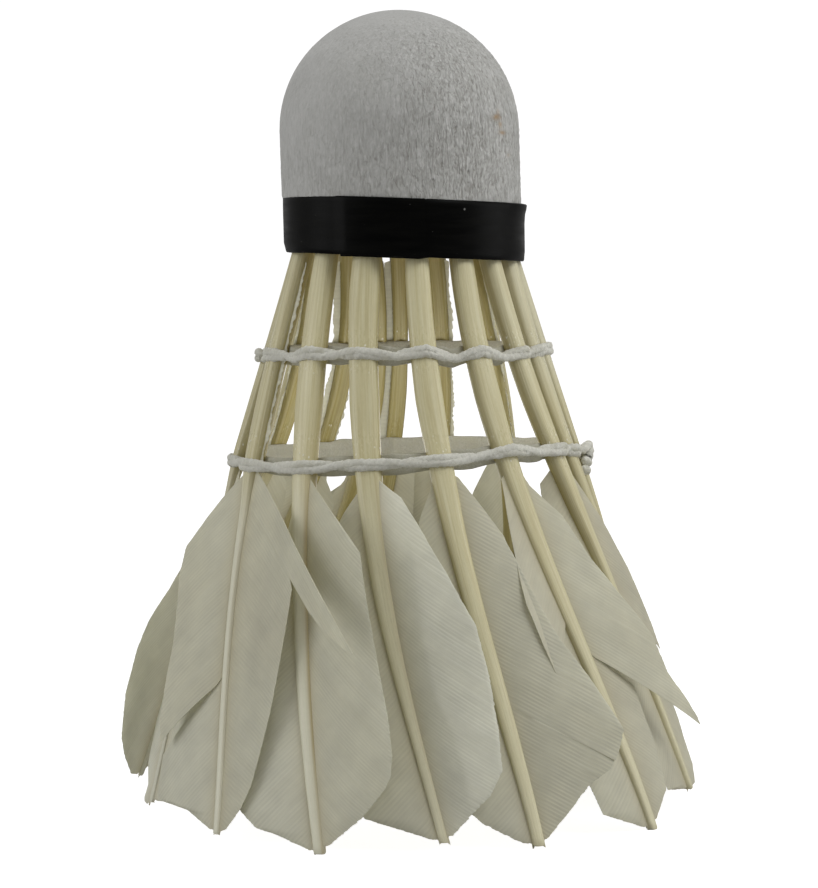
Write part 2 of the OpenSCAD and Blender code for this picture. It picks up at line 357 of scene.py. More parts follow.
class Material(Nodes):
    """A node tree round one Principled shader."""

    def __init__(self, name):
        self.data = bpy.data.materials.new(name)
        super().__init__(self.data)
        self.out = self.node("OutputMaterial")
        self.shader = self.node("BsdfPrincipled")
        self.put(self.out.inputs[0], self.shader.outputs[0])

    def surface(self, colour, roughness, specular=.5):
        self.put(self.shader.inputs["Base Color"], colour)
        self.put(self.shader.inputs["Roughness"], roughness)
        self.put(self.shader.inputs["Specular IOR Level"], specular)

    def attr(self, name):
        node = self.node("Attribute")
        node.attribute_name = name
        return node.outputs["Fac"]

    def math(self, operation, a, b=0.0, clamp=False):
        node = self.node("Math")
        node.operation = operation
        node.use_clamp = clamp
        self.put(node.inputs[0], a)
        self.put(node.inputs[1], b)
        return node.outputs[0]

    def mul(self, a, b, clamp=False):
        return self.math("MULTIPLY", a, b, clamp)

    def add(self, a, b, clamp=False):
        return self.math("ADD", a, b, clamp)

    def sub(self, a, b):
        return self.math("SUBTRACT", a, b)

    def wave(self, phase):
        """From 0 to 1 and back, with a crest at every whole phase."""
        return self.mul(self.add(self.math("COSINE", self.mul(phase, 2 * math.pi)), 1.0), .5)

    def vec(self, x, y, z):
        node = self.node("CombineXYZ")
        for socket, value in zip(node.inputs, (x, y, z)):
            self.put(socket, value)
        return node.outputs[0]

    def coord(self):
        return self.node("TexCoord").outputs["Object"]

    def stretch(self, vector, z):
        node = self.node("Mapping")
        self.put(node.inputs["Vector"], vector)
        node.inputs["Scale"].default_value = (1, 1, z)
        return node.outputs[0]

    def noise(self, vector, scale, detail=3.0, rough=.55):
        node = self.node("TexNoise")
        self.put(node.inputs["Vector"], vector)
        node.inputs["Scale"].default_value = scale
        node.inputs["Detail"].default_value = detail
        node.inputs["Roughness"].default_value = rough
        return node.outputs["Fac"]

    def voronoi(self, vector, scale):
        node = self.node("TexVoronoi")
        self.put(node.inputs["Vector"], vector)
        node.inputs["Scale"].default_value = scale
        return node.outputs["Distance"]

    def ramp(self, value, stops):
        """Stops are (position, rgb)."""
        node = self.node("ValToRGB")
        self.put(node.inputs[0], value)
        elements = node.color_ramp.elements
        while len(elements) < len(stops):
            elements.new(1.0)
        for element, (position, colour) in zip(elements, stops):
            element.position = position
            element.color = colour + (1.0,)
        return node.outputs[0]

    def mix(self, amount, a, b, blend="MIX"):
        node = self.node("Mix")
        node.data_type = "RGBA"
        node.blend_type = blend
        node.clamp_result = False
        self.put(node.inputs[0], amount)
        self.put(node.inputs[6], a)
        self.put(node.inputs[7], b)
        return node.outputs[2]

    def tint(self, base, amount, colour):
        return self.mix(amount, base, colour + (1.0,))

    def shade(self, base, factor):
        """Multiplies a colour by a grey factor."""
        node = self.node("CombineColor")
        for socket in node.inputs[:3]:
            self.put(socket, factor)
        return self.mix(1.0, base, node.outputs[0], "MULTIPLY")

    def bump(self, height, strength, distance):
        node = self.node("Bump")
        node.inputs["Strength"].default_value = strength
        node.inputs["Distance"].default_value = distance
        self.put(node.inputs["Height"], height)
        self.put(self.shader.inputs["Normal"], node.outputs[0])
        return node.outputs[0]

    def translucent(self, colour, share, normal):
        node = self.node("BsdfTranslucent")
        self.put(node.inputs["Color"], colour)
        self.put(node.inputs["Normal"], normal)
        blend = self.node("MixShader")
        self.put(blend.inputs[0], share)
        self.put(blend.inputs[1], self.shader.outputs[0])
        self.put(blend.inputs[2], node.outputs[0])
        self.put(self.out.inputs[0], blend.outputs[0])


# ---------------------------------------------------------------- materials
def leather_material():
    mat = Material("white_kid_leather")
    place = mat.coord()
    painted_light_and_tone, crease_light_mask = mat.attr("light_and_tone"), mat.attr("crease_light_mask")
    # painted light: the ramp is darker in the creases and between the grain pebbles (painted
    # shade) and lighter on top of the dome and at the left and right rims (painted highlight),
    # with some random tone
    base = mat.ramp(painted_light_and_tone, [(0.0, (.29, .285, .265)), (.38, (.40, .40, .38)),
                             (.62, (.45, .45, .435)), (1.0, (.54, .54, .525))])
    blotch = mat.noise(place, scale=260, detail=4)
    base = mat.shade(base, mat.remap(blotch, span=(.3, .7), to=(.96, 1.04)))
    fine = mat.noise(mat.stretch(place, z=.42), scale=4600, rough=.7)
    base = mat.shade(base, mat.remap(fine, span=(.25, .75), to=(.93, 1.07)))
    # short upright creases in colour: painted shade as thin dark lines, and painted highlights on
    # the pale swellings between them
    line = mat.noise(mat.stretch(place, z=.24), scale=1900, detail=2, rough=.5)
    line = mat.remap(mat.math("ABSOLUTE", mat.sub(line, .5)), span=(0, .05), to=(1, 0))
    fold = mat.noise(mat.stretch(place, z=.28), scale=3000, detail=2, rough=.5)
    fold = mat.remap(fold, span=(.53, .66))
    tick = mat.voronoi(mat.stretch(place, z=.24), scale=1700)
    tick = mat.remap(tick, span=(.12, .32), to=(1, 0))
    gate = mat.remap(mat.noise(place, scale=620, detail=2), span=(.40, .56))
    dark = mat.add(mat.mul(line, .48), mat.mul(mat.mul(tick, gate), .55))
    dark = mat.add(dark, mat.mul(fold, .42), clamp=True)
    dark = mat.mul(dark, crease_light_mask, clamp=True)
    swell_highlight = mat.noise(mat.stretch(place, z=.34), scale=3300, detail=2, rough=.5)
    swell_highlight = mat.remap(swell_highlight, span=(.52, .68))
    base = mat.tint(base, mat.mul(mat.mul(swell_highlight, crease_light_mask), .32), colour=(.72, .72, .70))
    base = mat.tint(base, mat.mul(dark, .72), colour=(.20, .19, .165))
    base = mat.tint(base, mat.mul(mat.attr("stain"), .8, clamp=True), colour=(.33, .23, .13))
    mat.surface(base, mat.remap(fine, span=(.3, .7), to=(.45, .6)), specular=.4)
    mat.bump(mat.sub(mat.mul(fine, .6), mat.mul(dark, 1.1)), strength=.8, distance=.00009)
    return mat.data


def tape_material():
    mat = Material("gloss_black_tape")
    place = mat.coord()
    streak = mat.noise(mat.stretch(place, z=9), scale=160, detail=4)
    grain = mat.noise(place, scale=2600)
    base = mat.mix(mat.remap(streak, span=(.35, .75)),
                   (.0008, .0009, .0008, 1), (.0026, .0026, .0021, 1))
    # one pale speck at a fixed place, and faint dust all over
    distance = mat.node("VectorMath")
    distance.operation = "DISTANCE"
    mat.put(distance.inputs[0], place)
    distance.inputs[1].default_value = tuple(polar(13.42, 30.6, 65.2) / 1000)
    speck = mat.remap(distance.outputs["Value"], span=(.00006, .00022), to=(1, 0))
    dust = mat.remap(mat.voronoi(place, scale=620), span=(.02, .035), to=(1, 0))
    base = mat.tint(base, mat.math("MAXIMUM", speck, mat.mul(dust, .12), clamp=True),
                    colour=(.5, .5, .48))
    mat.surface(base, mat.remap(streak, span=(.3, .7), to=(.30, .44)), specular=.05)
    mat.bump(mat.add(mat.mul(streak, 1.2), mat.mul(grain, .25)), strength=.4, distance=.00006)
    return mat.data


def quill_material():
    mat = Material("quill_keratin")
    phase, height, face, wet, tone = (mat.attr(k) for k in ("ph", "al", "face", "wet", "tone"))
    streak = mat.noise(mat.vec(mat.mul(phase, 22.0), mat.mul(height, .10), mat.mul(tone, 40.0)),
                       scale=1.0)
    fleck = mat.noise(mat.vec(mat.mul(phase, 30.0), mat.mul(height, 1.6), tone),
                      scale=1.0, detail=4, rough=.65)
    outer = mat.ramp(streak, [(.22, (.49, .43, .235)), (.5, (.58, .53, .315)),
                              (.8, (.665, .625, .42))])
    # painted shade: the inward face of the quill gets a darker olive copy of the colour, for the
    # shade inside the skirt and the light let through the quill
    inner = mat.ramp(streak, [(.25, (.31, .255, .09)), (.5, (.39, .332, .135)),
                              (.8, (.49, .44, .245))])
    base = mat.mix(mat.remap(face, span=(-.35, .45)), inner, outer)
    near_tip = mat.remap(height, span=(4.0, 30.0), to=(.45, 0.0))
    base = mat.tint(base, near_tip, colour=(.70, .675, .50))
    base = mat.tint(base, mat.attr("pale"), colour=(.70, .695, .575))
    # painted shade: a brown stripe along one edge of the quill, where the web meets it
    base = mat.tint(base, mat.mul(mat.attr("seam"), .85, clamp=True), colour=(.40, .315, .14))
    base = mat.shade(base, mat.remap(fleck, span=(.25, .75), to=(.955, 1.04)))
    base = mat.shade(base, mat.remap(tone, span=(0, 1), to=(.92, 1.03)))
    # glue beads where the thread rows are wet with glue, tinted near-white as painted highlights
    # (glints) and raised in the bump
    glue_bead_glint = mat.voronoi(mat.stretch(mat.coord(), z=.6), scale=2100)
    glue_bead_glint = mat.remap(glue_bead_glint, span=(.10, .24), to=(1, 0))
    glint_patch = mat.mul(wet, mat.noise(mat.coord(), scale=900, detail=2))
    glue_bead_glint = mat.mul(glue_bead_glint, mat.remap(glint_patch, span=(.36, .52)), clamp=True)
    base = mat.tint(base, mat.mul(glue_bead_glint, .7), colour=(.86, .85, .74))
    rough = mat.sub(mat.remap(fleck, span=(.3, .7), to=(.36, .5)), mat.mul(wet, .2))
    mat.surface(base, rough, specular=.45)
    mat.bump(mat.add(mat.add(mat.mul(streak, .6), mat.mul(fleck, .5)), glue_bead_glint),
             strength=.5, distance=.00008)
    return mat.data


def web_material():
    mat = Material("goose_feather_web")
    barb, crossing, out, tone, hatch = (mat.attr(k) for k in ("bs", "cr", "bu", "tone", "hat"))
    place = mat.coord()
    ridge = mat.wave(barb)
    cross = mat.wave(crossing)
    base = mat.ramp(tone, [(0.0, (.60, .56, .43)), (.45, (.745, .73, .60)),
                           (.75, (.83, .825, .715)), (1.0, (.90, .90, .81))])
    cloud = mat.noise(place, scale=330, detail=4)
    base = mat.shade(base, mat.remap(cloud, span=(.3, .7), to=(.95, 1.05)))
    fibre = mat.noise(mat.vec(mat.mul(barb, 3.1), mat.mul(out, .35), tone), scale=1.0, rough=.7)
    base = mat.shade(base, mat.remap(fibre, span=(.25, .75), to=(.955, 1.045)))
    # barb lines: painted shade in the valleys between the barbs, times a fainter crossing pattern
    lines = mat.mul(mat.remap(ridge, span=(0, 1), to=(.87, 1.03)),
                    mat.remap(cross, span=(0, 1), to=(.94, 1.02)))
    base = mat.mix(hatch, base, mat.shade(base, lines))
    # warmer and darker close to the quill, fading as e ** -1.1 per mm: partly the web's own
    # colour there, partly painted shade where the web meets the quill
    near = mat.math("POWER", 2.718, mat.mul(out, -1.1))
    base = mat.tint(base, mat.mul(near, .55, clamp=True), colour=(.62, .55, .35))
    mat.surface(base, mat.remap(fibre, span=(.3, .7), to=(.5, .68)), specular=.35)
    normal = mat.bump(mat.add(mat.mul(fibre, .5), mat.mul(cross, .2)),
                      strength=.4, distance=.00005)
    mat.translucent(base, share=.40, normal=normal)
    return mat.data


def thread_material(name, light, dark):
    mat = Material(name)
    place = mat.coord()
    ply, soak = mat.attr("ply"), mat.attr("soak")
    hair = mat.noise(place, scale=5200, detail=4, rough=.7)
    base = mat.mix(mat.remap(hair, span=(.3, .7)), dark, light)
    # painted shade in the grooves between the plies
    base = mat.shade(base, mat.remap(ply, span=(0, 1), to=(.93, 1.02)))
    glue = mat.remap(mat.noise(place, scale=900), span=(.42, .6))
    base = mat.tint(base, mat.mul(mat.mul(glue, soak), .55, clamp=True), colour=(.60, .585, .47))
    mat.surface(base, mat.remap(glue, span=(0, 1), to=(.92, .7)), specular=.2)
    mat.translucent(base, share=.35, normal=mat.bump(hair, strength=.9, distance=.00012))
    return mat.data


def glue_material():
    mat = Material("amber_glue")
    cloud = mat.noise(mat.coord(), scale=900)
    base = mat.ramp(cloud, [(.3, (.55, .47, .27)), (.7, (.74, .69, .5))])
    mat.surface(base, mat.remap(cloud, span=(.3, .7), to=(.2, .4)))
    mat.bump(cloud, strength=.4, distance=.0001)
    return mat.data


def cork_material(name, dark, middle, light):
    mat = Material(name)
    place = mat.coord()
    grain = mat.voronoi(place, scale=1500)
    cloud = mat.noise(place, scale=420, detail=4)
    base = mat.ramp(mat.add(mat.mul(grain, .8), mat.mul(cloud, .6)),
                    [(.25, dark), (.6, middle), (.95, light)])
    mat.surface(base, roughness=.85)
    mat.bump(grain, strength=.6, distance=.0002)
    return mat.data


LEATHER, TAPE, QUILL, WEB = leather_material(), tape_material(), quill_material(), web_material()
THREAD = thread_material("cotton_thread", light=(.97, .965, .90, 1), dark=(.80, .795, .72, 1))
BAND = thread_material("glue_soaked_thread", light=(.72, .71, .63, 1), dark=(.54, .53, .44, 1))
GLUE = glue_material()
CORK_NOSE = cork_material("natural_cork", dark=(.23, .13, .06), middle=(.52, .35, .19),
                          light=(.66, .48, .29))
CORK_BASE = cork_material("agglomerated_cork", dark=(.17, .10, .05), middle=(.44, .29, .15),
                          light=(.60, .42, .25))

# ---------------------------------------------------------------- leather cover
# Brown stains just above the tape: angle, height, half width, half height, strength
STAINS = ((54.5, 75.0, .60, .30, 1.6), (57.0, 74.2, .35, .35, 1.0), (58.5, 73.4, .65, .22, 1.3),
          (64.0, 71.0, .40, .18, .6), (56, 75.6, .25, .25, .8))


def leather():
    cols = 560
    step = .112
    tucked_top = TAPE_Z + TAPE_H - 1.2
    tucked = np.linspace(SKIN_Z, tucked_top, 8)
    side = np.arange(tucked_top + step, DOME_Z, step)
    dome = np.linspace(0, math.pi / 2, int(CORK_R * math.pi / 2 / step))[:-1]
    slope = np.concatenate([np.zeros(len(tucked) + len(side)), dome])
    up = np.sin(slope)
    heights = np.concatenate([tucked, side, DOME_Z + CORK_R * np.sin(dome)])
    angles = np.linspace(0, 360, cols, endpoint=False)[None]
    plain = polar((CORK_R * np.cos(slope))[:, None], angles, heights[:, None])
    normal = polar(np.sqrt(1 - up ** 2)[:, None], angles, up[:, None])
    x, z = plain[..., 0], plain[..., 2]

    # short creases run up the side; the grain is coarser and harder towards +X
    warp = (layered_noise(plain * .5, 5)[..., None] - .5) * np.array([1.1, 1.1, .4])
    warped = plain + warp
    fold = layered_noise(warped * np.array([3.1, 3.1, .95]), 11, 2) - .5
    crease = 1 - smooth(0, .10, np.abs(fold))
    nearest, second = cells(warped * np.array([1 / .34, 1 / .34, 1 / .62]), 31)
    pebble = smooth(0, .6, second - nearest)
    wave = layered_noise(plain * .45, 71) - .5
    right = smooth(-2, 9, x)
    rough = .30 + .85 * right + .25 * smooth(80, 70, z)
    rough = rough * (1 - .6 * smooth(.80, .99, up))[:, None]
    height = rough * (.034 * (pebble - 1) - .034 * crease + .05 * fold) + .05 * wave

    # the skin is smooth and pressed in under the tape
    tape_top = TAPE_Z + TAPE_H + TAPE_UP - x * TAPE_TILT
    height = height * smooth(tape_top - .3, tape_top + .25, z)
    height = height - .11 * smooth(tape_top + .08, tape_top - .25, z)
    outside = plain + normal * height[..., None]

    # painted shade in the creases and between the pebbles, painted highlight towards the top of
    # the dome and at the left and right rims, and random tone from the wave
    painted_light_and_tone = np.clip(.55 + rough * (.24 * (pebble - .75) - .22 * crease) + .22 * wave
                     + .16 * smooth(.3, .9, up)[:, None] + .10 * smooth(6, 12.6, np.abs(x)), 0, 1)
    # how strongly the creases get painted shade and highlight: most towards +X, where the light
    # grazes, weakest at far -X and on top of the dome, stronger low down
    crease_light_mask = np.clip(.36 + .55 * right + .30 * smooth(-9, 0, x) + .30 * smooth(76, 67, z), 0, 1)
    crease_light_mask = crease_light_mask * (1 - .55 * smooth(.70, .98, up))[:, None]
    stain = 0 * x
    for angle, stain_z, wide, high, strength in STAINS:
        offset = plain - polar(CORK_R, angle, stain_z)
        stain = stain + strength * np.exp(-((offset @ sideways(angle)) / wide) ** 2
                                          - (offset[..., 2] / high) ** 2
                                          - ((offset @ outwards(angle)) / 2) ** 2)
    stain = stain * (.4 + .9 * value_noise(plain * 3.2, 55))

    # inside skin, closed at the pole
    inner_r = CORK_R - SKIN_T
    slope = np.linspace(0, math.pi / 2, 10)[:-1]
    inner_z = np.concatenate([[SKIN_Z], DOME_Z + inner_r * np.sin(slope)])
    radii = inner_r * np.cos(np.concatenate([[0], slope]))
    inside = polar(radii[::-1, None], angles, inner_z[::-1, None])
    rows = np.concatenate([inside, outside])
    poles = [[0, 0, DOME_Z + inner_r], [0, 0, DOME_Z + CORK_R - .01]]
    verts = np.concatenate([rows.reshape(-1, 3), poles])
    # the cork sits a hair off centre
    verts[:, 0] -= np.interp(verts[:, 2], [62, 68, 77], [0, .14, .27])

    def whole(outer_values, inner_value, pole_values):
        pad = np.full(len(inside) * cols, inner_value)
        return np.concatenate([pad, outer_values.ravel(), pole_values])

    attrs = {"light_and_tone": whole(painted_light_and_tone, .6, [.6, .62]), "crease_light_mask": whole(crease_light_mask, 0.0, [0, .1]),
             "stain": whole(stain, 0.0, [0, 0])}
    add_piece("leather_skin", (verts, capped_grid(len(rows), cols), attrs), LEATHER, 180,
              "leather_cover")


# ---------------------------------------------------------------- tape
TAPE_T = .20
# Cross-section of the ribbon: distance out, height
TAPE_SECTION = np.array([
    (0, 0), (0, .12), (0, .5), (0, 1), (0, 2), (0, 3.05), (0, 4.1), (0, 5.1), (0, 5.6), (0, 6.0),
    (0, 6.1), (.05, 6.17), (.12, 6.15), (TAPE_T, 6.05), (TAPE_T, 5.6), (TAPE_T, 5.1),
    (TAPE_T, 4.1), (TAPE_T, 3.05), (TAPE_T, 2), (TAPE_T, 1), (TAPE_T, .5), (TAPE_T, .1),
    (.12, -.03), (.05, -.04)])


def tape():
    angle = np.arange(-30, 371.1, .8)
    section_r, section_z = TAPE_SECTION.T
    overlap = smooth(326, 334, angle) * (TAPE_T + .05)
    start_drop = -.20 * (1 - smooth(7, 13, angle))
    x = np.sin(np.radians(angle))
    wobble = value_noise(xyz(angle * .055, 0, 3), 7) - .5
    radius = CORK_R - .09 + overlap[:, None] + section_r[None]
    # lower edge drawn in at -X, upper edge standing proud at +X, slack between
    radius = radius - .25 * (smooth(-.86, -.98, x)[:, None] * smooth(1.2, -.1, section_z)[None])
    radius = radius + .30 * (smooth(.82, .96, x)[:, None] * smooth(4.6, 6.1, section_z)[None])
    radius = radius - .10 * (smooth(.7, .95, x)[:, None] * smooth(1.2, 0, section_z)[None])
    # the free end lifts
    radius = radius + (.10 * smooth(363, 371, angle))[:, None]
    buckle = value_noise(xyz(angle[:, None] * .12, section_z[None] * .45, 9.), 12) - .5
    radius = radius + .03 * buckle * smooth(6.0, 5.0, section_z)[None]
    z = TAPE_Z + TAPE_UP + section_z[None] + start_drop[:, None]
    z = z - (x * 13.2 * TAPE_TILT)[:, None] + .05 * wobble[:, None]
    rings = polar(radius, angle[:, None], z) + np.array([.10, 0, 0])
    add_piece("tape_ribbon", (*tube(rings), {}), TAPE, 40, "edge_tape")


# ---------------------------------------------------------------- quills
def quill(feather):
    tip = TIP_Z[feather]
    zs = np.concatenate([[tip], np.linspace(tip + .15, CORK_Z, 90),
                         np.linspace(CORK_Z + .5, CORK_Z + QUILL_IN, 6)])
    ring = circle(28)
    angle = angle_at(feather, np.minimum(zs, CORK_Z))
    depth = along(zs, HALF_DEPTH)
    depth = depth * (1 - (1 - DEPTH_FACTOR.get(feather, 1)) * smooth(40, 32, zs))
    across, out = np.cos(ring), np.sin(ring)
    # squarish below, rounder towards the cork, grooved on the inward face
    square = along(zs, [(0, 1), (36, 1), (48, .75), (62, .35)])[:, None]
    power = 2 / (2 + 1.1 * square)
    section_x = signed_power(across, power)
    section_y = signed_power(out, power)
    section_y = np.where(out > 0, section_y * (1 - .10 * np.abs(across) ** 2), section_y)
    groove = np.exp(-((ring - 1.5 * math.pi) / .42) ** 2)[None]
    section_y = section_y + groove * along(zs, [(0, .5), (38, .45), (50, .25), (60, 0)])[:, None]
    ridge = (1 + .016 * np.cos(7 * ring + 1.3 * feather)[None]
             + .012 * np.cos(11 * ring + feather + zs[:, None] * .05))
    wobble = value_noise(xyz(zs * .13, feather, 0), 3) - .5
    side = sideways(angle)
    middle = quill_line(feather, zs) + side * (.10 * wobble)[:, None]
    wide = half_width(feather, zs)[:, None] * section_x * ridge
    deep = depth[:, None] * section_y * ridge
    rings = (middle[:, None] + wide[..., None] * side[:, None]
             + deep[..., None] * outwards(angle)[:, None])
    # the tip is cut square with a slight bevel
    rings[0] = middle[0] + (rings[0] - middle[0]) * .8

    wet = np.maximum(np.exp(-((zs - ROW_1) / 3.2) ** 2), np.exp(-((zs - ROW_2 - 1) / 3.2) ** 2))
    pale = (PALE_LOW.get(feather, 0) * smooth(40, 30, zs)
            + PALE_HIGH.get(feather, 0) * smooth(42, 50, zs))
    # painted shade along the quill's edge beside the web, below z 44 only, strongest from z 12 to
    # 30
    seam = SEAM_SHADE.get(feather, 0) * smooth(44, 30, zs) * (.55 + .45 * smooth(4, 12, zs))
    attrs = {"ph": np.abs(ring / (2 * math.pi) * 2 - 1), "al": zs[:, None], "face": out,
             "wet": wet[:, None], "tone": lattice(feather, 3, 1, 8), "pale": pale[:, None],
             "seam": seam[:, None] * smooth(.05, .6, across)[None] * (out > -.6)[None]}
    for key, values in attrs.items():
        flat = np.broadcast_to(values, rings.shape[:2]).ravel()
        attrs[key] = np.concatenate([flat, flat[:1], flat[-1:]])
    add_piece(f"quill_{feather + 1:02d}", (*tube(rings), attrs), QUILL, 60,
              f"feather_{feather + 1:02d}_shaft")


# ---------------------------------------------------------------- webs
@dataclass
class Web:
    """One group of joined barbs on one side of a quill.

    Barbs start between heights low and high; a point's height falls by sweep * u + curve * u**2
    at a distance u from the quill. Tables start each row with the height.
    """
    low: float
    high: float
    outline: list                   # (height, distance of the edge from the quill)
    twist: tuple = ((0, -12),)      # (height, degrees the web is turned outwards)
    sweep: float = .8
    curve: float = 0.0
    camber: float = .05             # bulge as a share of the width
    fold: tuple = ()                # (height, distance of a fold line)
    fold_turn: float = 0            # degrees the web turns outwards past the fold
    wave: float = .16
    tone: float = 0.0
    push: float = 0.0               # shift outwards
    hatch: float = .30              # strength of the barb lines
    ends: tuple = ()                # (root height, barb length), used instead of the outline
    jag: float = .06                # unevenness of the barb ends


# Usual outlines: height, distance of the edge from the quill
OUTER = [(38.2, 2.2), (36, 4.4), (33, 7.0), (30, 9.0), (26, 9.9), (20, 10.2), (12, 10.2),
         (8, 9.6), (4.2, 5.6), (1.2, 2.0), (0, .6)]
INNER = [(38.2, 1.8), (35, 4.0), (32, 5.6), (27, 6.6), (20, 7.6), (12, 8.2), (5, 8.2),
         (3.0, 7.4), (.2, .7)]
# Factor on the usual outlines, by feather
OUTLINE_FACTOR = {4: .95, 5: .93, 6: .97, 8: .95, 10: .97}


def scaled(table, factor, tip):
    return [(tip + z * (WEB_TOP - tip) / WEB_TOP, u * factor) for z, u in table]


# Webs on the side of growing angles (overlapping the next feather), by feather
RIGHT = {
    0: [Web(1.2, WEB_TOP, [
        (38.2, 1.3), (37, 2.6), (32.6, 5.2), (27.7, 7.4), (22.6, 9.2), (17.7, 9.2), (12.2, 8.8),
        (8.2, 8.0), (5.8, 6.1), (4.3, 4.2), (1.2, .3)], [(0, 20)], fold_turn=-13, tone=.75,
        fold=[(38, 1.6), (30, 4.4), (17.5, 3.3), (15, 3.4), (12, 4.3), (7, 4.1), (3, 3.4)])],
    1: [Web(14.6, WEB_TOP, [
        (38.2, 1.0), (37.8, 1.3), (34.4, 3.3), (31.2, 5.0), (27.7, 6.0), (24.0, 7.0), (20.6, 8.1),
        (16.9, 9.9), (13.1, 11.4), (11.4, 12.0), (9.8, 11.2), (8.7, 10.5), (6.5, 9.4)],
        [(0, 16), (12, 14), (22, 9), (38, 5)], sweep=.62, tone=-.10, hatch=.55),
        Web(.3, 14.6, [
            (16, 11), (13.1, 11.4), (11.4, 12.0), (9.8, 11.2), (8.7, 10.5), (7.4, 9.4),
            (5.9, 6.8), (2.3, 2.7), (.2, .3)],
            [(0, 16), (12, 14), (22, 9)], sweep=.62, tone=-.10, push=-.05, hatch=.55)],
    2: [Web(18.8, WEB_TOP, [
        (38.2, 1.0), (35.9, 1.8), (32.6, 4.4), (28, 6.0), (23.7, 8.1), (21.2, 9.3), (19.4, 10.0),
        (15.5, 10.2), (12.5, 11.5), (10.4, 12.2), (9.6, 12.2)],
        [(0, 11), (20, 12), (38, 10)], sweep=.72, curve=.003, tone=-.12),
        Web(.1, 18.8, [(18.8, 5.4), (13, 5.3), (8.7, 5.2), (3.6, 4.5), (0, .2)],
            [(0, 6), (18, 7)], tone=-.28)],
    3: [Web(21.8, WEB_TOP, [(38.2, 1.0), (32, 3.6), (26, 5.2), (20.4, 5.9), (19, 6)],
            [(0, 14)], sweep=.85, tone=-.5),
        Web(2.0, 21.8, [(22, 4.6), (18.4, 4.8), (9.2, 5.9), (4.0, 5.0), (2.2, 3.2), (1.9, .6)],
            [(0, 8), (22, 6)], tone=-.2)],
    4: [Web(1, WEB_TOP, [(38.2, 1), (30, 3.4), (20, 6.4), (10, 7.4), (5, 6), (1, .8)],
            [(0, 0), (20, 1), (38, 2)])],
    5: [Web(.5, WEB_TOP, scaled(OUTER, .8, .5), [(0, 8)])],
    7: [Web(.3, 40.0, [
        (40, 1.3), (38.4, 2.6), (36, 4.6), (33, 7.0), (30, 9.0), (26, 9.9), (20, 10.2),
        (12, 10.2), (8, 9.6), (4.2, 5.6), (1.4, 2.0), (.2, .6)], [(0, 19)], sweep=.78)],
    10: [Web(.1, WEB_TOP, [
        (38.2, .9), (36.5, 1.1), (34.5, 1.5), (32.4, 2.6), (30, 5.2), (26, 8.6), (20, 9.8),
        (12, 10.2), (8, 9.6), (4.2, 5.6), (1.2, 2.0), (0, .6)], [(0, 18), (38, 20)], tone=.1)],
    12: [Web(3.6, WEB_TOP, [
        (38.2, 1.2), (33.4, 4.2), (28.6, 6.0), (23.9, 7.8), (20.9, 9.4), (17.9, 10.1),
        (13.3, 9.9), (10, 8.8), (8.6, 8.3), (6.6, 6.5), (4.2, 3.1), (3.6, .2)],
        [(0, 20)], tone=.6)],
    13: [Web(2.7, WEB_TOP, [
        (38.2, 1.0), (34.2, 2.5), (27.9, 4.1), (21.8, 5.7), (15.8, 6.8), (11, 6.5), (4.5, 4.0),
        (2.9, 2.0), (2.6, .5)], [(0, -16)], tone=.7)],
    14: [Web(33.9, 38.25, [(60, 40), (0, 40)], [(0, 3)], sweep=.35, curve=.017, camber=0,
             wave=.06, tone=-.25, push=.05,
             ends=[(33.9, 15.6), (34.6, 18.0), (36.0, 20.6), (37.4, 22.6), (38.2, 23.3)]),
         Web(1.1, 33.9, [
             (38.2, 8), (33, 10.9), (29.2, 11.4), (26.3, 12.4), (20.1, 10.2), (14.4, 8.3),
             (6.1, 4.9), (4, 3.6), (1.7, 1.4), (1.1, .4)], [(0, 3)], sweep=.35, curve=.017,
             camber=0, wave=.06, tone=-.25, push=.05)],
    15: [Web(.6, WEB_TOP, [
        (38.2, .8), (36.2, 2.9), (35.3, 3.6), (33.9, 5.3), (32.3, 7.8), (30.8, 9.8), (28.9, 10),
        (27, 10.1), (24.2, 10.4), (20.6, 10.9), (17.7, 11.2), (14, 11.5), (10.3, 11.3),
        (8.5, 10.8), (7.1, 9.7), (4.1, 6.3), (.6, .8)], [(0, 20)])],
}
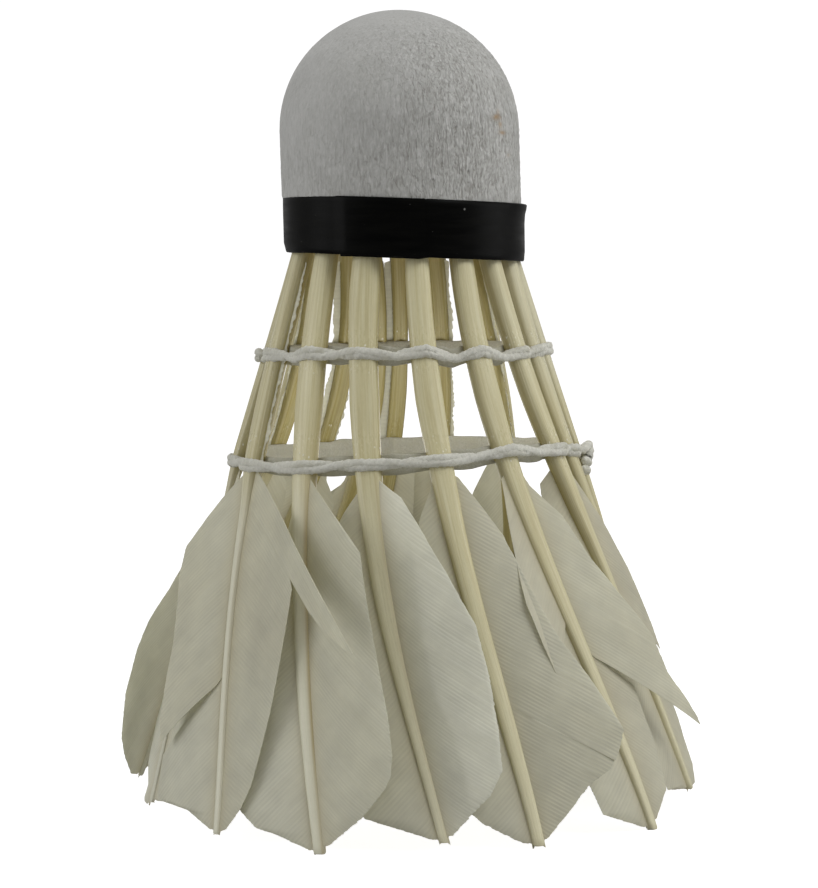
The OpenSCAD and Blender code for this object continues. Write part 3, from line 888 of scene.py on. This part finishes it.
# Webs on the other, covered side
LEFT = {
    0: [Web(1.2, WEB_TOP, [
        (38.2, .9), (36, 1.3), (33.8, 3.2), (31, 5.2), (28, 6.6), (20, 8.2), (10, 8.6),
        (4.6, 8.3), (3.4, 7.5), (1.2, .5)], tone=-.1)],
    1: [Web(.3, WEB_TOP, [
        (38.2, .9), (36, 1.6), (33, 3.4), (28, 5.4), (20, 7.2), (12, 7.6), (4.6, 7.2),
        (3.9, 6.4), (2.7, 5.3), (.8, 2.1), (.2, .3)])],
    2: [Web(22.4, WEB_TOP, [
        (38.2, 1.4), (35.1, 2.2), (30, 4.1), (24.2, 6.5), (20, 7.0), (17.3, 7.2), (16.8, 6.9)],
        [(0, 13), (24, 13), (38, 9)], sweep=.82, camber=.02, tone=-.42, hatch=.1, jag=.02,
        wave=.08),
        Web(.1, 22.4, [(23, 6.6), (12, 7.8), (6.5, 7.4), (5.2, 6.4), (2.2, 6.1), (0, .4)],
            tone=-.05)],
    3: [Web(2.0, WEB_TOP, [
        (38.2, 1.8), (36.5, 2.8), (33, 4.0), (26, 4.8), (19.1, 5.4), (10.5, 6.4), (4.2, 6.5),
        (2.8, 6.2), (2, .4)], [(0, -12), (24, -14), (33, -36), (38, -42)], tone=-.45)],
    7: [Web(.3, WEB_TOP, [
        (38.2, .9), (36.6, 1.4), (34.3, 2.4), (28, 5.0), (20, 6.6), (12, 7.4), (5, 7.4),
        (3, 6.4), (.3, .5)], tone=.1)],
    8: [Web(.1, WEB_TOP, [
        (38.2, .9), (36.1, 1.2), (32.9, 2.8), (27, 5.2), (20, 7.0), (12, 7.8), (5, 7.8),
        (3, 6.6), (.1, .5)], tone=.1)],
    11: [Web(.5, WEB_TOP, [
        (38.2, .9), (36.6, 1.2), (34.6, 2.2), (32.1, 4.4), (27, 6.2), (20, 7.4), (12, 8), (5, 8),
        (3, 6.6), (.4, .5)], tone=.1)],
    13: [Web(2.2, WEB_TOP, [
        (38.2, .9), (30, 2.2), (24, 4.2), (18, 6.0), (10, 6.5), (6, 5.0), (4, 2.8), (2.6, 3.0),
        (2.3, 2.7), (2.1, .3)], [(0, -4)], tone=.7)],
    14: [Web(16.6, WEB_TOP, [
        (38.2, 1.5), (36.5, 2.8), (34.8, 4.3), (32.2, 6.6), (29.3, 9.0), (26.6, 9.2), (22.8, 8.8),
        (19.1, 8.7), (14.7, 9.4), (11.3, 9.6), (9, 9)],
        [(8, 4), (18, 6), (26, 10), (38, 12)], tone=-.05, wave=.22),
        Web(1.1, 16.6, [(16.6, 9), (10, 11.0), (6, 11.6), (3.0, 11.8), (2.75, 5.9), (1.1, .4)],
            [(0, -14), (10, -8), (17, -3)], tone=.1)],
    15: [Web(.1, WEB_TOP, [
        (38.2, .9), (34, 1.6), (28.7, 3.4), (22, 6.0), (14, 7.8), (8, 9.2), (3.8, 9.6), (2, 7.6),
        (1.5, 5.1), (.1, .5)], tone=.2)],
}


def barb_reach(feather, web, roots):
    """Length of the barb from each root height before it leaves the outline."""
    trial = np.arange(.3, 27, .04)
    trial_z = roots[:, None] - web.sweep * trial - web.curve * trial ** 2
    inside = (trial[None] <= along(trial_z, web.outline)) & (trial_z > TIP_Z[feather] - .6)
    stop = np.argmin(np.concatenate([inside, np.zeros((len(roots), 1), bool)], 1), 1)
    return trial[np.maximum(stop - 1, 0)]


def web_sheet(feather, side, web, seed):
    """A web as a thin closed sheet, thickest between the barb lines; side is 1 or -1."""
    per_barb = 4
    barbs = round((web.high - web.low) / BARB)
    rows = barbs * per_barb + 1
    roots = np.linspace(web.low, web.high, rows)
    barb = np.arange(rows) / per_barb
    which = np.minimum(np.floor(barb + 1e-6), barbs - 1).astype(np.int64)
    ragged = lattice(which, seed, side + 2, 61)
    if web.ends:
        end = along(roots, web.ends) - .04 * ragged
    else:
        end = barb_reach(feather, web, roots) - web.jag * ragged ** 2
        end = end - .02 * (np.abs((barb % 1) - .5) * 2) ** 2
    start = half_width(feather, roots) * .72
    end = np.maximum(end, start + .22)
    t = np.linspace(0, 1, 24)
    u = start[:, None] + (end - start)[:, None] * t
    z = roots[:, None] - web.sweep * u * smooth(0, 1.2, u) - web.curve * u ** 2
    z = np.maximum(z, TIP_Z[feather] - .4)
    angle = angle_at(feather, z)
    turn = np.radians(along(z, web.twist))[..., None]
    tangent, outward = sideways(angle), outwards(angle)
    along_web = side * np.cos(turn) * tangent + np.sin(turn) * outward
    normal = np.cos(turn) * outward - side * np.sin(turn) * tangent

    width = np.minimum(along(z, web.outline), 14)
    x = np.clip(u / np.maximum(width, .5), 0, 1)
    rise = web.camber * width * 4 * x * (1 - x)
    ripple = layered_noise(xyz(z * .16 + seed, u * .22, side), 21) - .5
    rise = rise + web.wave * ripple * 2 * smooth(.8, 4, u)
    rise = rise + web.push * smooth(.6, 3.0, u)
    if web.fold:
        past = np.maximum(u - along(z, web.fold), 0)
        past = np.sqrt(past ** 2 + .04) - .2
        rise = rise + math.tan(math.radians(web.fold_turn)) * past
    # every barb lies a hair proud of or below its neighbours, more so at its free end
    lay = (lattice(which, seed, 5, 77) - .5)[:, None]
    rise = rise + .025 * lay * smooth(.3, 1, x)
    ridge = (.5 - .5 * np.cos(2 * math.pi * barb))[:, None]
    half = (.034 + (.006 + .014 * web.hatch) * ridge) * (1 - .45 * smooth(.7, 1, t)[None])
    middle = on_skirt(feather, z) + u[..., None] * along_web + rise[..., None] * normal
    cloud = layered_noise(xyz(z * .09 + seed * 3, u * .12, 0), 33) - .5
    tone = .52 + .16 * cloud * 2 + .06 * lay + web.tone * .45 + .05 * smooth(2, 9, u)
    return slab(middle, half[..., None] * normal, {
        "bs": barb[:, None], "cr": (z + .75 * u) / .50 + feather * .37,
        "bu": u - start[:, None] * .9, "tone": np.clip(tone, 0, 1), "hat": web.hatch})


def clear_of_previous(feather, table):
    """Keeps a covered web clear of the quill before it."""
    capped = []
    for z, u in table:
        gap = float(np.linalg.norm(on_skirt(feather, z) - on_skirt(feather - 1, z)))
        capped.append((z, min(u, max(1.0, gap - 2.2 * float(along(z, HALF_WIDTH)) - .3))))
    return capped


# Sides of the quills with a ragged line of stripped web above the lower thread
STUBS = {7: (1, -1), 8: (1, -1), 9: (1,), 10: (1, -1), 11: (1, -1), 12: (1,), 13: (-1,),
         14: (1,), 15: (-1,)}
# Extra width of that line by (feather, side): (height, width)
STUB_EXTRA = {(7, -1): [(38, -.25), (55.5, -.25), (60, .8)], (8, 1): [(38, .2), (60, .9)],
              (8, -1): [(38, -.3), (56, -.2), (60, .3)], (9, 1): [(38, 0), (60, .5)],
              (10, 1): [(38, 0), (50, .2), (60, 1.0)], (11, 1): [(38, 0), (60, .5)]}


def stub(feather, side, seed):
    rows, cols = ((150, 7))
    zs = np.linspace(38.4, 60.0, rows)
    ragged = (value_noise(xyz(zs * 4.2, seed, 0), 51) * .32
              + value_noise(xyz(zs * .5, seed, 0), 52) * .75)
    start = half_width(feather, zs) * .8
    end = (start + .30 + .75 * ragged * smooth(61.5, 56, zs)
           + along(zs, STUB_EXTRA.get((feather, side), [(38, 0)])))
    t = np.linspace(0, 1, cols)
    u = start[:, None] + (end - start)[:, None] * t
    beyond = u - start[:, None]
    z = zs[:, None] - .35 * beyond
    angle = angle_at(feather, z)
    rise = -.15 - .25 * beyond ** 2 + .10 * (value_noise(xyz(z * 1.5, u, seed), 53) - .5)
    middle = (on_skirt(feather, z) + (side * u)[..., None] * sideways(angle)
              + rise[..., None] * outwards(angle))
    half = (.07 * (1 - .6 * t))[None, :, None] * outwards(angle)
    return slab(middle, half, {"bs": z / BARB, "cr": z * 1.3, "bu": 3.0,
                               "tone": .62 + .2 * (ragged[:, None] - .5), "hat": .3})


def vane(feather):
    tip = TIP_Z[feather]
    factor = OUTLINE_FACTOR.get(feather, 1)
    chance = lattice(feather, 7, 1, 5)
    right = RIGHT.get(feather)
    if right is None:
        split = 12 + 14 * chance
        outline = scaled(OUTER, factor * (.95 + .08 * chance), tip)
        twist = [(0, 17 + 5 * chance), (38, 19)]
        tone = .1 - .3 * chance
        right = [Web(tip + .1, split, outline, twist, tone=tone, push=-.1),
                 Web(split, WEB_TOP, outline, twist, sweep=.78, tone=tone)]
    left = LEFT.get(feather)
    if left is None:
        outline = clear_of_previous(feather, scaled(INNER, factor, tip))
        left = [Web(tip + .1, WEB_TOP, outline, tone=-.05)]
    seed = 10 * feather
    parts = [web_sheet(feather, 1, web, seed + n) for n, web in enumerate(right)]
    parts += [web_sheet(feather, -1, web, seed + 5 + n) for n, web in enumerate(left)]
    parts += [stub(feather, side, seed + side) for side in STUBS.get(feather, ())]
    add_piece(f"web_{feather + 1:02d}", join(parts), WEB, 75,
              f"feather_{feather + 1:02d}_vane")


# ---------------------------------------------------------------- threads
# Rise of each thread row above its mean height: (angle, rise)
LIFT_1 = [(-120, -.35), (-86, -.55), (-69, -.15), (-59, -.25), (-50, -.42), (-40, .16),
          (-28, -.14), (-16, .06), (-3, -.30), (9, .29), (22, -.72), (32, .03), (44, -.75),
          (55, -.30), (63, -.50), (72, -.2), (88, -.1), (98, -.2), (125, -.3)]
LIFT_2 = [(-120, -.45), (-88, -.50), (-63, -.52), (-49, -.60), (-35, -.43), (-23, -.30),
          (-12, -.16), (0, 0), (11, .30), (24, .40), (36, 1.0), (48, .58), (60, .66), (74, .15),
          (90, -.30), (125, 0)]


def lift(table, angle):
    angle = (angle + 180) % 360 - 180
    return along(angle, [(-235, table[-1][1]), *table, (235, table[0][1])])


def thread_round(row_z, per_gap):
    """Stations of a full turn: count of gaps passed, gap number, share of the gap, angle."""
    turn = np.array([angle_at(k, row_z) for k in range(FEATHERS)])
    turn = np.append(turn, turn[0] + 360)
    station = np.arange(FEATHERS * per_gap) / per_gap
    gap = np.floor(station).astype(int)
    share = station - gap
    return station, gap, share, turn[gap] + share * (turn[gap + 1] - turn[gap])


def strand(row_z, table, swap, bulge, radius, seed):
    """One strand; it changes height by `swap` across each gap, as its partner crosses it."""
    station, gap, share, angle = thread_round(row_z, per_gap=72)
    over = quill_face_radius(row_z) + STRAND * .80
    dip = skirt_radius(row_z) + .45
    sag = np.sin(math.pi * share)
    flip = signed_power(np.where(gap % 2 == 0, 1, -1) * np.cos(math.pi * share), .8)
    path_r = over + (dip - over) * sag ** 1.6 + bulge * sag ** 2
    noise_z = value_noise(xyz(station * 1.7, seed, 0), 4) - .5
    noise_r = value_noise(xyz(station * 2.3, seed, 9), 5) - .5
    z = row_z + lift(table, angle) + swap * flip + .16 * noise_z
    path = polar(path_r + .12 * noise_r, angle, z)
    ring = circle(14)
    length = np.cumsum(np.linalg.norm(np.roll(path, -1, 0) - path, axis=1))
    turns = round(length[-1] / 1.9)
    twist = length / length[-1] * turns * 2 * math.pi
    lobe = np.abs(np.cos(1.5 * (ring[None] - twist[:, None])))
    fuzz = value_noise(xyz(length[:, None] * 2.6, ring[None] * 1.2, seed), 15) - .5
    hair = value_noise(xyz(length[:, None] * 7.0, ring[None] * 2.4, seed), 16) - .5
    section = radius * (.94 + .05 * lobe + .26 * fuzz + .26 * hair)
    # flattened against the quills
    rings = (path[:, None] + (section * np.cos(ring))[..., None] * outwards(angle)[:, None] * .8
             + (section * np.sin(ring))[..., None] * np.array([0, 0, 1.0]))
    verts, faces = tube(rings, loop=True)
    soak = np.broadcast_to(np.clip(.35 + 1.2 * noise_z, 0, 1)[:, None], lobe.shape)
    return verts, face_out(verts, faces), {"ply": lobe.ravel(), "soak": soak.ravel()}


def thread_pair(name, row_z, table, node):
    parts = [strand(row_z, table, swap=.29, bulge=.22, radius=.45, seed=1),
             strand(row_z, table, swap=-.27, bulge=.04, radius=.43, seed=2)]
    add_piece(name, join(parts), THREAD, 80, node)


def band(name, row_z, table, node):
    """The flat soaked band on the inward side of the quills."""
    station, _, share, angle = thread_round(row_z, per_gap=40)
    depth = along(row_z, HALF_DEPTH)
    bow = np.sin(math.pi * share) ** 1.4
    path_r = skirt_radius(row_z) - depth - .26 + (depth - .35) * bow
    ring = circle(16)
    up = signed_power(np.sin(ring), .7)
    lump = value_noise(xyz(station[:, None] * 3.0, up[None] * 1.3, 2), 24) - .5
    groove = .07 * np.cos(ring * 2 + math.pi)
    wide = 1 + .22 * (value_noise(xyz(station * 2.2, 0, row_z), 25) - .5)
    radius = path_r[:, None] + (.26 + .18 * lump) * np.cos(ring)[None] * (1 + groove)
    z = (row_z - .16 + .8 * lift(table, angle)[:, None] + .98 * wide[:, None] * up[None]
         + .26 * lump)
    # ply pattern that sets the painted shade between the plies
    ply = np.broadcast_to((.4 + .6 * np.abs(np.sin(ring * 2)))[None], radius.shape).ravel()
    part = (*tube(polar(radius, angle[:, None], z), loop=True),
            {"ply": ply, "soak": np.ones(radius.size)})
    add_piece(name, part, BAND, 80, node)


def curl(points, path_r, base_z, radius, seed):
    """A lumpy thread with tapered ends through (angle, step out, step up) points."""
    angle, out, up = np.array(points, float).T
    knots = polar(path_r + out, angle, base_z + up)
    last = len(knots) - 1
    s = np.linspace(0, last, last * 10 + 1)
    k = np.minimum(s.astype(int), last - 1)
    f = (s - k)[:, None]
    before, here, after, later = (knots[np.clip(k + n, 0, last)] for n in (-1, 0, 1, 2))
    # Catmull-Rom spline
    path = .5 * ((2 * here) + (after - before) * f
                 + (2 * before - 5 * here + 4 * after - later) * f ** 2
                 + (3 * here - before - 3 * after + later) * f ** 3)
    ahead = np.gradient(path, axis=0)
    ahead /= np.linalg.norm(ahead, axis=1, keepdims=True)
    side = np.cross(ahead, np.array([.3, .2, 1.0]))
    side /= np.linalg.norm(side, axis=1, keepdims=True)
    third = np.cross(ahead, side)
    ring = circle(12)
    lobe = np.abs(np.cos(1.5 * (ring[None] - (s * 2.4)[:, None])))
    fuzz = value_noise(xyz(s[:, None] * 3, ring[None], seed), 18) - .5
    taper = np.minimum(1, .35 + .65 * smooth(0, .6, np.minimum(s, last - s)))
    section = radius * (.94 + .07 * lobe + .2 * fuzz) * taper[:, None]
    verts, faces = tube(path[:, None] + (section * np.cos(ring))[..., None] * side[:, None]
                        + (section * np.sin(ring))[..., None] * third[:, None])
    attrs = {"ply": np.append(lobe.ravel(), [1, 1]),
             "soak": np.append(0 * lobe.ravel() + .6, [1, 1])}
    return verts, face_out(verts, faces), attrs


def knots():
    path_r, z = quill_face_radius(ROW_1) + .45, ROW_1 - .45
    upper = [curl([(-84, -.5, .2), (-88, -.1, .38), (-92, .1, .30), (-93.5, .0, -.05),
                   (-91.5, .1, -.30), (-87, -.1, -.25)], path_r, z, radius=.44, seed=3)]
    add_piece("knot_upper", join(upper), THREAD, 80, "upper_thread_knot")
    path_r, z = quill_face_radius(ROW_2) + .62, ROW_2 - .1
    lower = [curl([(77, -.5, .1), (81, .0, .55), (86, .2, .65), (90, .0, .2), (88, .2, -.5),
                   (83, .1, -.5), (85, .3, .1), (89, .1, -.3)], path_r, z, radius=.52, seed=5),
             curl([(78, -.1, -.7), (83, .1, -1.1), (88, .0, -1.3), (91, -.5, -1.2)],
                  path_r, z, radius=.52, seed=6),
             curl([(78, -.2, -1.6), (83, .0, -2.0), (87, -.1, -2.2), (91, -.6, -2.0)],
                  path_r, z, radius=.46, seed=7)]
    add_piece("knot_lower", join(lower), THREAD, 80, "lower_thread_knot")


# ---------------------------------------------------------------- glue round the roots
def glue():
    ring, section = circle(30), circle(12)
    parts = []
    for k in range(FEATHERS):
        axis = root_direction(k)
        axis = axis / np.linalg.norm(axis)
        side = sideways(angle_at(k, CORK_Z))
        third = np.cross(axis, side)
        lump = value_noise(xyz(np.cos(ring) * 1.4 + 9 * k, np.sin(ring) * 1.4, 0), 6)[:, None]
        radius = QUILL_R + .12 + (.26 + .34 * lump) * (.5 + .5 * np.cos(section))[None]
        height = -.28 + (.30 + .30 * lump) * np.sin(section)[None]
        out = np.cos(ring)[:, None] * side + np.sin(ring)[:, None] * third
        verts, faces = tube(quill_line(k, CORK_Z) + radius[..., None] * out[:, None]
                            + height[..., None] * axis, loop=True)
        parts.append((verts, face_out(verts, faces), {}))
    add_piece("root_glue_beads", join(parts), GLUE, 80, "root_glue")


leather()
tape()
for n in range(FEATHERS):
    quill(n)
    vane(n)
thread_pair("thread_upper_pair", ROW_1, LIFT_1, "upper_thread_outer")
thread_pair("thread_lower_pair", ROW_2, LIFT_2, "lower_thread_outer")
band("thread_upper_band", ROW_1, LIFT_1, "upper_thread_inner")
band("thread_lower_band", ROW_2, LIFT_2, "lower_thread_inner")
knots()
glue()
for node, mat in (("cork_nose", CORK_NOSE), ("cork_base", CORK_BASE)):
    NODES[node].data.materials.clear()
    NODES[node].data.materials.append(mat)


# ---------------------------------------------------------------- floor and world
def floor():
    """A pale slab 4 mm thick that looks almost white to the camera."""
    mat = Material("pale_floor")
    base = mat.ramp(mat.noise(mat.coord(), scale=30), [(.3, (.49, .49, .49)),
                                                       (.7, (.52, .52, .52))])
    mat.surface(base, roughness=.9, specular=.1)
    camera_ray = mat.node("LightPath").outputs["Is Camera Ray"]
    mat.put(mat.shader.inputs["Emission Color"], (1, 1, 1, 1))
    mat.put(mat.shader.inputs["Emission Strength"], mat.mul(camera_ray, .86))
    span = np.linspace(-1500, 1500, 24)
    middle = xyz(span[:, None], span[None], -2.02)
    build("floor", slab(middle, np.array([0, 0, 2.0]), {}), mat.data, 30)


def studio_world():
    """White to the camera; lights the scene more from above and from +Y."""
    world = bpy.data.worlds.new("studio")
    bpy.context.scene.world = world
    nodes = Nodes(world)
    out = nodes.node("OutputWorld")
    seen = nodes.node("Background")
    seen.inputs[0].default_value = (1, 1, 1, 1)
    seen.inputs[1].default_value = 1.05
    lit = nodes.node("Background")
    lit.inputs[0].default_value = (1.0, .995, .985, 1)
    split = nodes.node("SeparateXYZ")
    nodes.put(split.inputs[0], nodes.node("TexCoord").outputs["Generated"])
    tilt = nodes.node("Math")
    tilt.operation = "MULTIPLY_ADD"
    for socket, value in zip(tilt.inputs, (split.outputs["Y"], .6, split.outputs["Z"])):
        nodes.put(socket, value)
    nodes.put(lit.inputs[1], nodes.remap(tilt.outputs[0], span=(-1.0, 1.2), to=(.14, .58)))
    mix = nodes.node("MixShader")
    nodes.put(mix.inputs[0], nodes.node("LightPath").outputs["Is Camera Ray"])
    nodes.put(mix.inputs[1], lit.outputs[0])
    nodes.put(mix.inputs[2], seen.outputs[0])
    nodes.put(out.inputs[0], mix.outputs[0])


floor()
scene = bpy.context.scene
studio_world()


# ---------------------------------------------------------------- lights
def area(name, place, aim, size, power):
    data = bpy.data.lights.new(name, "AREA")
    data.shape = "SQUARE"
    data.size = size
    data.energy = power
    ob = bpy.data.objects.new(name, data)
    ob.location = place
    ob.rotation_euler = (Vector(aim) - Vector(place)).to_track_quat("-Z", "Y").to_euler()
    scene.collection.objects.link(ob)
    ob.visible_camera = False


def inner_fill():
    """Soft light inside the open skirt."""
    data = bpy.data.lights.new("inner_fill", "POINT")
    data.energy = .0070
    data.shadow_soft_size = .011
    data.color = (1.0, .99, .97)
    ob = bpy.data.objects.new("inner_fill", data)
    ob.location = (0, .002, .040)
    ob.visible_camera = False
    scene.collection.objects.link(ob)


area("key_top_right", place=(.34, -.22, .48), aim=(0, 0, .05), size=.34, power=1.5)
area("side_right", place=(.52, .02, .12), aim=(0, 0, .04), size=.30, power=.55)
area("side_left", place=(-.50, -.12, .20), aim=(0, 0, .04), size=.36, power=.86)
inner_fill()


# ---------------------------------------------------------------- camera
def camera(place, aim, roll, lens):
    """Place and aim in mm, roll in radians."""
    forward = aim - place
    forward /= np.linalg.norm(forward)
    level = np.cross(forward, [0, 0, 1.0])
    level /= np.linalg.norm(level)
    upright = np.cross(level, forward)
    right = math.cos(roll) * level + math.sin(roll) * upright
    up = -math.sin(roll) * level + math.cos(roll) * upright
    data = bpy.data.cameras.new("camera")
    data.sensor_width = 36
    data.sensor_fit = "AUTO"
    data.lens = lens
    data.clip_start = .01
    data.clip_end = 20
    ob = bpy.data.objects.new("camera", data)
    matrix = Matrix.Identity(4)
    for k in range(3):
        matrix[k][:] = right[k], up[k], -forward[k], place[k] / 1000
    ob.matrix_world = matrix
    scene.collection.objects.link(ob)
    scene.camera = ob


camera(place=np.array([6.17, -339.216, 59.457]), aim=np.array([.247, 0.0, 39.737]),
       roll=-.017, lens=125.19)

scene.view_settings.view_transform = "Standard"
scene.view_settings.look = "None"
scene.view_settings.exposure = 0.0
scene.view_settings.gamma = 1.0

bpy.context.view_layer.update()
